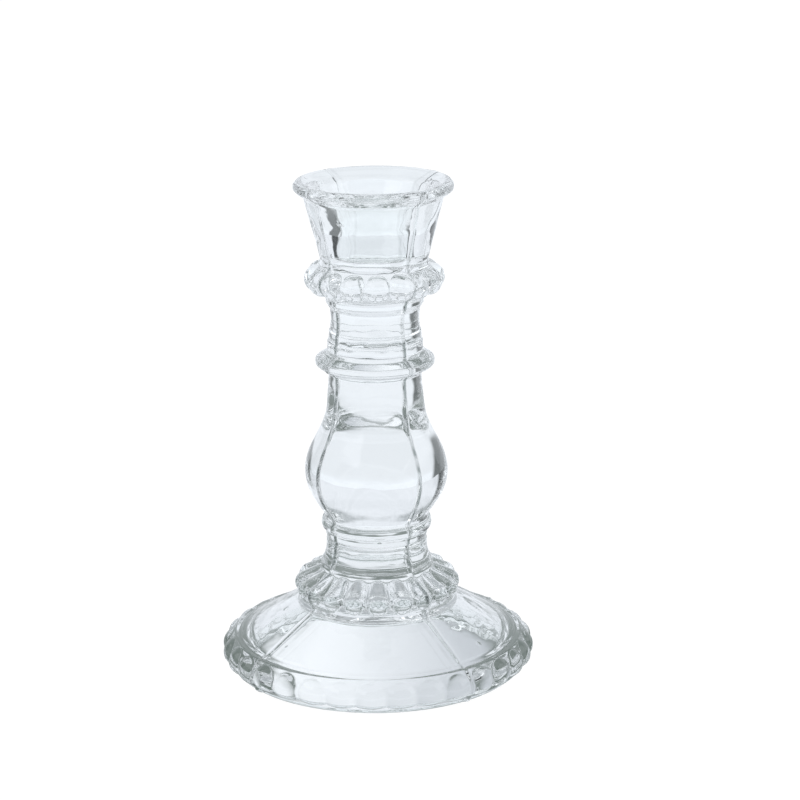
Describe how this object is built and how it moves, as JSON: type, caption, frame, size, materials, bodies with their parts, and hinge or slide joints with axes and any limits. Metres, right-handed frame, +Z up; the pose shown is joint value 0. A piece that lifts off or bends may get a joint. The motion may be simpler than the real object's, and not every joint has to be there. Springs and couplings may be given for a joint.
{
  "type": "candlestick",
  "caption": "Clear pressed-glass candlestick with a flared candle cup, beaded and ribbed knops, a pear-shaped stem and a wide hollow foot; holds one dinner candle upright.",
  "frame": {"origin": "centre of the foot's rim on the table, at the bottom of the candlestick", "axes": "+Z up along the axis of the stem, towards the candle; one front mould seam lies at 45 degrees from +X to -Y, so -Y is the middle of a mould quarter"},
  "size_m": [0.1012, 0.1012, 0.16],
  "materials": {
    "clear_glass": "fire-polished pressed clear glass"
  },
  "bodies": {
    "root": {"foot": "clear_glass", "gadrooned_knop": "clear_glass", "lower_neck": "clear_glass", "collar": "clear_glass", "baluster": "clear_glass", "ring_knop": "clear_glass", "waisted_neck": "clear_glass", "beaded_knop": "clear_glass", "candle_cup": "clear_glass"}
  },
  "joints": []
}
